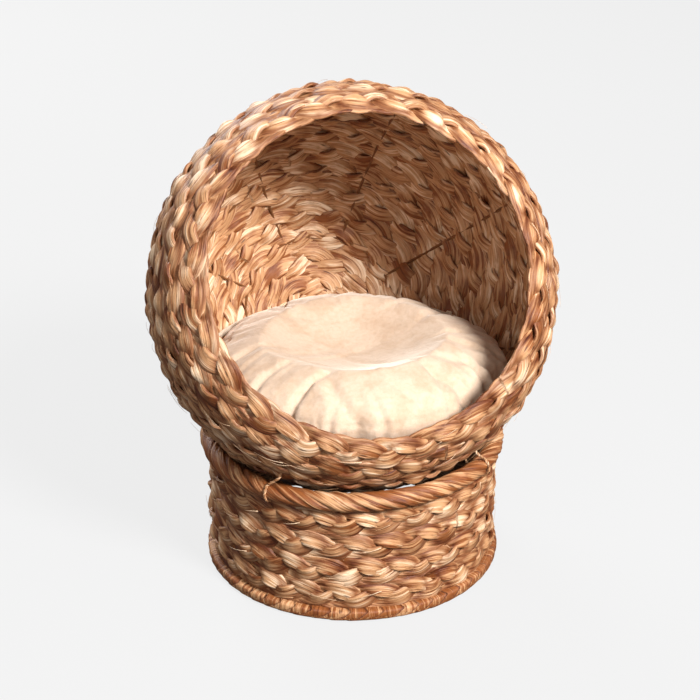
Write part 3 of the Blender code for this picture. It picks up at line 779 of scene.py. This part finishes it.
class PETBED_OT_cushion(bpy.types.Operator):
    """Sew and stuff the cushion's cover."""
    bl_idname = "petbed.cushion"
    bl_label = "Cushion"

    def execute(self, context):
        settings = context.scene.petbed_cushion
        low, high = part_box("cushion_bottom_panel")
        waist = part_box("cushion_top_panel")[0].z
        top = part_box("cushion_top_panel")[1].z
        centre = Vector(((low.x + high.x) / 2, (low.y + high.y) / 2, waist))
        radius = (high.x - low.x) / 2
        rng = np.random.default_rng(settings.seed)
        cover = self.blank_cover(settings, centre, radius, top - waist, waist - low.z)
        self.remesh(cover, settings)
        self.stuff(context, cover, settings)
        self.refine(cover)
        self.gather(cover, settings, centre, radius, rng)
        cover.data.materials.clear()
        cover.data.materials.append(plush_material("cut_pile_plush", settings))
        cover.data.shade_smooth()
        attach(cover, "cushion")
        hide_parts("cushion_top_panel", "cushion_bottom_panel", "cushion_filling")
        return {"FINISHED"}

    @staticmethod
    def blank_cover(settings, centre, radius, crown, depth):
        """The cover before it is stuffed, a little smaller than the finished cushion."""
        slim = 3.5 * MM
        count, rings = 144, 14
        spread_at, spread_width = (radians(-15), radians(195)), radians(24)
        share = np.linspace(0, 1, rings)
        upper_foot, lower_foot = radius - settings.roll, radius - settings.undercut
        belly = settings.belly - slim
        turn = np.linspace(0, pi / 2, rings)
        profile = [(lower_foot * s, slim - depth + (depth - slim - belly) * s ** 2) for s in share[1:-1]]
        profile += [(lower_foot + (settings.undercut - slim) * sin(t) ** 1.4, -belly * cos(t) ** 1.4) for t in turn]
        profile += [(upper_foot + (settings.roll - slim) * cos(t), (crown - slim) * sin(t)) for t in turn[1:]]
        profile += [(upper_foot * s, crown - slim - settings.dish * (1 - s ** 2) ** 1.2) for s in share[-2:0:-1]]
        angle = 2 * pi * np.arange(count) / count
        # It spreads towards the pod's walls at both sides, where no zip holds it.
        away = np.min([np.abs(wrap(angle - at)) for at in spread_at], axis=0)
        spread = 1 + settings.spread / radius * bell(away, spread_width)
        points = [(r * s * cos(a), r * s * sin(a), z) for r, z in profile for a, s in zip(angle, spread)]
        rows = len(profile)
        faces = [tuple(f) for f in grid_faces(rows, count, closed=False)]
        points += [(0, 0, slim - depth), (0, 0, crown - slim - settings.dish)]
        under, over = rows * count, rows * count + 1
        faces += [(under, (k + 1) % count, k) for k in range(count)]
        last = (rows - 1) * count
        faces += [(over, last + k, last + (k + 1) % count) for k in range(count)]
        mesh = bpy.data.meshes.new("cushion_cover")
        mesh.from_pydata([Vector(p) + centre for p in points], [], faces)
        mesh.validate()
        return put("cushion_cover", mesh)

    @staticmethod
    def apply(cover):
        """Bake the modifiers into the mesh."""
        bpy.context.view_layer.update()
        result = bpy.data.meshes.new_from_object(cover.evaluated_get(bpy.context.evaluated_depsgraph_get()))
        cover.modifiers.clear()
        cover.data = result

    def remesh(self, cover, settings):
        """Even cloth cells all over the cover."""
        cells = cover.modifiers.new("cells", "REMESH")
        cells.mode = "VOXEL"
        cells.voxel_size = settings.voxel
        self.apply(cover)

    def stuff(self, context, cover, settings):
        """Swell the cover as cloth round its filling, and cap how far it moves, in place of the pod's walls."""
        before = read(cover.data)
        cloth = cover.modifiers.new("stuffing", "CLOTH")
        cloth.settings.use_pressure = True
        cloth.settings.uniform_pressure_force = settings.pressure
        cloth.settings.effector_weights.gravity = 0.0
        cloth.settings.mass = 0.3
        cloth.settings.tension_stiffness = 15
        cloth.settings.bending_stiffness = 0.5
        cloth.settings.quality = 5
        cloth.point_cache.frame_start = 1
        cloth.point_cache.frame_end = settings.frames
        for step in range(1, settings.frames + 1):
            context.scene.frame_set(step)
        self.apply(cover)
        context.scene.frame_set(1)
        moved = read(cover.data) - before
        reach = np.linalg.norm(moved, axis=1, keepdims=True)
        moved *= np.minimum(1.0, settings.cap / np.maximum(reach, 1e-9))
        self.move(cover.data, before + moved)

    def refine(self, cover):
        """One level of smooth subdivision."""
        finer = cover.modifiers.new("finer", "SUBSURF")
        finer.levels = finer.render_levels = 1
        self.apply(cover)

    @staticmethod
    def move(mesh, spots):
        """Move the vertices of a mesh."""
        mesh.vertices.foreach_set("co", spots.astype(np.float32).ravel())
        mesh.update()

    def gather(self, cover, settings, centre, radius, rng):
        """Pull in the sewn edge and press folds into the pile on both sides of it."""
        cover.data.update()
        broad_folds, dents = 15, 26
        seam_height, seam_depth, stitches = 3.2 * MM, 0.9 * MM, 95
        spots, normals = read(cover.data), read(cover.data, "normal")
        offset = spots - np.array(centre)
        out = np.hypot(offset[:, 0], offset[:, 1])
        turn = np.arctan2(offset[:, 1], offset[:, 0])
        level = offset[:, 2]
        outer = between(out / radius, 0.35, 1.0)
        push = np.zeros(len(spots))
        for _ in range(settings.gathers):
            at = rng.uniform(-pi, pi)
            bend = rng.uniform(-0.5, 0.5)
            wide = rng.uniform(3.0, 8.0) * MM / radius
            deep = rng.uniform(1.0, 3.6) * MM
            reach = rng.uniform(0.25, 0.85)
            away = wrap(turn - at - bend * (1 - out / radius))
            fade = np.clip((outer - (1 - reach)) / reach, 0, 1) ** 1.3
            # The cloth swells a little beside each fold.
            push -= deep * fade * (bell(away, wide) - 0.45 * bell(away - 2 * wide, wide)
                                   - 0.45 * bell(away + 2 * wide, wide))
        # Broad folds run over the puffed rim where it is pressed against the pod.
        for index in range(broad_folds):
            at = radians(-160 + 20 * index + rng.uniform(-11, 11))
            wide = rng.uniform(4.0, 11.0) * MM / radius
            bend = rng.uniform(-0.7, 0.7)
            waver = 0.05 * np.sin(9 * out / radius + at)
            away = wrap(turn - at - bend * (1 - out / radius) - waver)
            over = between(out / radius, 0.50, 0.75) * between(level / radius, -0.25, 0.0)
            push += rng.uniform(-6.5, -0.8) * MM * over * bell(away, wide)
        # Shallow dents and swellings lie on the upper cloth.
        for _ in range(dents):
            at = np.array([rng.uniform(-0.7, 0.7), rng.uniform(-0.7, 0.7)]) * radius
            way = rng.uniform(0, pi)
            line = np.array((cos(way), sin(way)))
            flat = offset[:, :2] - at
            side, ahead = flat @ np.array((-line[1], line[0])), flat @ line
            side = side + 3.0 * ahead ** 2 * rng.uniform(-1, 1)
            long, wide = rng.uniform(20, 46) * MM, rng.uniform(3.5, 8.0) * MM
            push += np.where(level > 0, rng.uniform(-2.4, 1.6) * MM, 0.0) * bell(side, wide) * bell(ahead, long)
        spots = spots + normals * push[:, None]
        seam = bell(level, seam_height) * between(out / radius, 0.80, 0.95)
        pinch = 1 + 0.35 * np.sin(stitches * turn)
        spots[:, :2] -= (offset[:, :2] / np.maximum(out, 1e-6)[:, None]) * (seam * pinch * seam_depth)[:, None]
        self.move(cover.data, spots)


class PETBED_OT_zip(bpy.types.Operator):
    """Set coil teeth and a pull tab on the zip."""
    bl_idname = "petbed.zip"
    bl_label = "Zip"

    def execute(self, context):
        enamel = zip_material()
        for node, look in (("cushion_zip_tape", tape_material()), ("zip_slider", enamel)):
            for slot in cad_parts[node].material_slots:
                slot.material = look
        tape = points_of("cushion_zip_tape")
        low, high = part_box("cushion_bottom_panel")
        middle = np.array(((low.x + high.x) / 2, (low.y + high.y) / 2))
        offset = tape[:, :2] - middle
        out = np.hypot(offset[:, 0], offset[:, 1]).max()
        turn = np.arctan2(offset[:, 1], offset[:, 0])
        level = (tape[:, 2].max() + tape[:, 2].min()) / 2
        pitch, stagger = 1.6 * MM, 0.5 * MM
        # Half sizes outward, along the zip and upward.
        tooth, bail, tab = ((0.45, 0.5, 1.5), (0.6, 1.0, 1.6), (0.45, 2.4, 8.5))
        shape = Shape()
        for index, at in enumerate(np.arange(turn.min(), turn.max(), pitch / out)):
            self.block(shape, middle, out + 0.35 * MM, at, level + (stagger if index % 2 else -stagger), tooth)
        teeth = shape.piece("zip_coil", enamel, "cushion", "zip_tape")
        teeth.data.shade_flat()
        slider = points_of("zip_slider")
        offset = slider[:, :2] - middle
        at = np.arctan2(offset[:, 1].mean(), offset[:, 0].mean())
        face = np.hypot(offset[:, 0], offset[:, 1]).max()
        shape = Shape()
        self.block(shape, middle, face + 0.5 * MM, at, slider[:, 2].max() - 2 * MM, bail)
        self.block(shape, middle, face + 1.2 * MM, at, slider[:, 2].min() - 5 * MM, tab)
        pull = shape.piece("zip_pull_tab", enamel, "zip_slider", "zip_slider")
        edge = pull.modifiers.new("edge", "BEVEL")
        edge.width, edge.segments = 0.3 * MM, 2
        return {"FINISHED"}

    @staticmethod
    def block(shape, middle, out, turn, level, halves):
        """A small block at (out, turn, level) round the cushion, from its half sizes in millimetres."""
        radial = np.array((cos(turn), sin(turn), 0.0))
        along = np.array((-sin(turn), cos(turn), 0.0))
        centre = np.array((*middle, level)) + radial * out
        signs = np.array([(a, b, c) for a in (-1, 1) for b in (-1, 1) for c in (-1, 1)])
        corners = centre + (signs * halves * MM) @ np.array((radial, along, (0.0, 0.0, 1.0)))
        faces = [(0, 1, 3, 2), (4, 6, 7, 5), (0, 4, 5, 1), (2, 3, 7, 6), (0, 2, 6, 4), (1, 5, 7, 3)]
        shape.add(corners, faces, signs * MM, 0.5, 0.0)


class PETBED_OT_stage(bpy.types.Operator):
    """Set up the floor, the lamps and the camera."""
    bl_idname = "petbed.stage"
    bl_label = "Stage"

    def execute(self, context):
        settings = context.scene.petbed_stage
        scene = context.scene
        axis = Axis("base_rope_border", (0, 0, 1))
        origin = Vector((axis.middle[0], axis.middle[1], CAD_BOX[0][2]))
        mesh = bpy.data.meshes.new("floor")
        reach, drop = 14.0, 0.0005
        mesh.from_pydata([(x, y, origin.z - drop) for x, y in ((-reach, -reach), (reach, -reach),
                                                               (reach, reach), (-reach, reach))], [], [(0, 1, 2, 3)])
        floor = put("floor", mesh)
        # Seamless paper, matt and faintly mottled, lit through from below, so that it looks evenly white. The bed
        # gets a little of that light, and the paper throws back only a share of what falls on it.
        reflected, shown, felt = 0.06, 0.96, 0.05
        made, tree, shader = blank("lit_paper_backdrop")
        place = add(tree, "TexCoord", {}, "Object")
        mottle = add(tree, "TexNoise", {"Vector": place, "Scale": 3.0, "Detail": 2.0})
        tint = add(tree, "ValToRGB", {0: mottle}, stops=((0.30, "fdfdfd"), (0.70, "ffffff")))
        paper = [reflected * channel for channel in linear(settings.floor)[:3]] + [1.0]
        seen = add(tree, "LightPath", {}, "Is Camera Ray")
        plug(tree, shader, {
            "Base Color": add(tree, "Mix", {0: 1.0, 6: paper, 7: tint}, 2, data_type="RGBA", blend_type="MULTIPLY"),
            "Roughness": add(tree, "Math", {0: mottle, 1: 0.05, 2: 0.92}, operation="MULTIPLY_ADD"),
            "Specular IOR Level": 0.0, "Emission Color": settings.floor,
            "Emission Strength": add(tree, "Math", {0: seen, 1: shown - felt, 2: felt}, operation="MULTIPLY_ADD")})
        mesh.materials.append(made)

        world = bpy.data.worlds.new("room")
        world.use_nodes = True
        tree, wall = world.node_tree, 0.83
        seen = add(tree, "LightPath", {}, "Is Camera Ray")
        plug(tree, tree.nodes["Background"], {
            "Color": "ffffff",
            "Strength": add(tree, "Math", {0: seen, 1: wall - settings.sky, 2: settings.sky},
                            operation="MULTIPLY_ADD")})
        scene.world = world
        # The lamps point at the pod, above the middle of the drum.
        aim = origin + Vector((0.0, 0.0, 0.28))
        for name, place, size, power in (("key", (1.22, -2.60, 2.50), 1.0, settings.key),
                                         ("fill", (-1.6, -1.9, 1.3), 2.0, settings.fill),
                                         ("back", (-0.9, 2.7, 1.9), 1.8, settings.back)):
            lamp = bpy.data.lights.new(name, "AREA")
            lamp.shape, lamp.size, lamp.energy = "DISK", size, power
            holder = put(name, lamp)
            holder.location = origin + Vector(place)
            holder.rotation_euler = (aim - holder.location).to_track_quat("-Z", "Y").to_euler()

        lens = bpy.data.cameras.new("camera")
        lens.lens, lens.sensor_width = settings.lens, 36.0
        lens.clip_end = 50.0
        camera = put("camera", lens)
        target = origin + Vector(settings.aim)
        level = cos(settings.elevation) * settings.distance
        camera.location = target + Vector((-sin(settings.azimuth) * level, -cos(settings.azimuth) * level,
                                           sin(settings.elevation) * settings.distance))
        camera.rotation_euler = (target - camera.location).to_track_quat("-Z", "Y").to_euler()
        scene.camera = camera
        scene.view_settings.view_transform = "Standard"
        return {"FINISHED"}


class PETBED_PT_panel(bpy.types.Panel):
    """Pieces and sizes of the pet bed."""
    bl_idname = "PETBED_PT_panel"
    bl_label = "Pet bed"
    bl_space_type = "VIEW_3D"
    bl_region_type = "UI"
    bl_category = "Pet bed"

    def draw(self, context):
        for operator in OPERATORS:
            self.layout.operator(operator.bl_idname)
        for group in SETTINGS:
            settings = getattr(context.scene, group)
            box = self.layout.box()
            for name in settings.bl_rna.properties.keys():
                if name not in ("rna_type", "name"):
                    box.prop(settings, name)


SETTINGS = {"petbed_leaf": PetBedLeaf, "petbed_cushion": PetBedCushion, "petbed_stage": PetBedStage}
OPERATORS = (PETBED_OT_pod_plait, PETBED_OT_drum_plait, PETBED_OT_rope_border, PETBED_OT_foot_rim, PETBED_OT_ties,
             PETBED_OT_fibres, PETBED_OT_wires, PETBED_OT_cushion, PETBED_OT_zip, PETBED_OT_stage)


def register():
    """Register the settings, operators and panel."""
    for group in SETTINGS.values():
        bpy.utils.register_class(group)
    for operator in OPERATORS:
        bpy.utils.register_class(operator)
    bpy.utils.register_class(PETBED_PT_panel)
    for name, group in SETTINGS.items():
        setattr(bpy.types.Scene, name, PointerProperty(type=group))


def unregister():
    """Remove the settings, operators and panel."""
    for name in SETTINGS:
        delattr(bpy.types.Scene, name)
    bpy.utils.unregister_class(PETBED_PT_panel)
    for operator in reversed(OPERATORS):
        bpy.utils.unregister_class(operator)
    for group in SETTINGS.values():
        bpy.utils.unregister_class(group)


def main():
    """Register and build every piece in order."""
    register()
    for operator in OPERATORS:
        group, name = operator.bl_idname.split(".")
        if getattr(getattr(bpy.ops, group), name)() != {"FINISHED"}:
            raise RuntimeError(operator.bl_label + " did not finish")
    bpy.context.view_layer.update()


if __name__ == "__main__":
    main()
